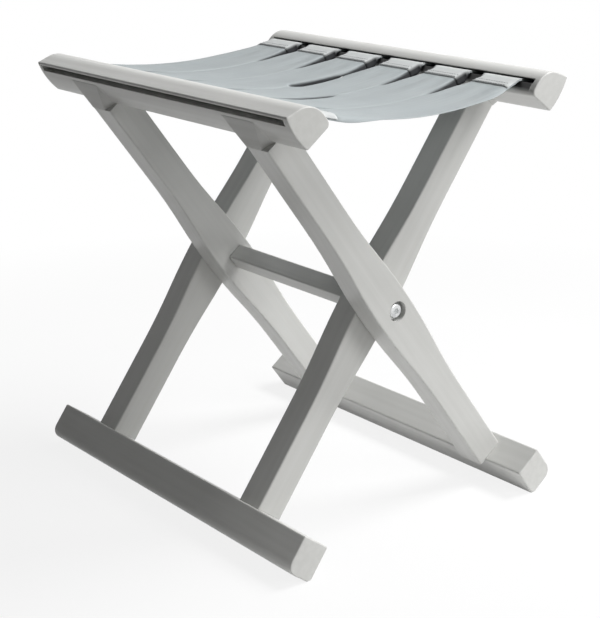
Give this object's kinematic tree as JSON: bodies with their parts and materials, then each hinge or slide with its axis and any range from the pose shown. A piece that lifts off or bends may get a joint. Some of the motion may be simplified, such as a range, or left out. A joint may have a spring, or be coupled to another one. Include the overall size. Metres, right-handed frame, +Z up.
{
  "type": "folding stool",
  "caption": "Folding stool with crossed, painted wooden frames on a pivot bar and a sagging seat of woven straps held in slotted top rails.",
  "frame": {"origin": "on the floor under the middle of the pivot axis; the middle of the open stool's box lies 3 mm from it along +Y, as one foot is longer", "axes": "+Z up, +Y along the pivot axis towards the far side, +X from the rail of frame A towards the rail of frame B"},
  "size_m": [0.3406, 0.424, 0.4337],
  "materials": {
    "painted_wood": "pale grey satin paint",
    "webbing": "plain woven strap, blue-grey",
    "bolt_steel": "polished zinc",
    "rod_steel": "plain drawn rod"
  },
  "bodies": {
    "frame_a": {"a_top_rail": "painted_wood", "a_outer_leg": "painted_wood", "a_inner_leg": "painted_wood", "a_foot": "painted_wood", "crossbar": "painted_wood", "bolt_near": "bolt_steel", "bolt_far": "bolt_steel", "bolt_washer_near": "bolt_steel", "bolt_washer_far": "bolt_steel", "leg_washer_near": "bolt_steel", "leg_washer_far": "bolt_steel", "bar_washer_near": "bolt_steel", "bar_washer_far": "bolt_steel", "insert_near": "bolt_steel", "insert_far": "bolt_steel", "strap_rod_a": "rod_steel", "strap_1": "webbing", "strap_2": "webbing", "strap_3": "webbing", "strap_4": "webbing", "strap_5": "webbing", "strap_6": "webbing"},
    "frame_b": {"b_top_rail": "painted_wood", "b_outer_leg": "painted_wood", "b_inner_leg": "painted_wood", "b_foot": "painted_wood", "strap_rod_b": "rod_steel"}
  },
  "joints": [
    {"name": "fold", "type": "hinge", "parent": "frame_a", "child": "frame_b", "pos_m": [0, 0, 0.21509], "axis": [0, -1, 0], "range_deg": [0, 59], "deforming": ["strap_1", "strap_2", "strap_3", "strap_4", "strap_5", "strap_6"]}
  ]
}
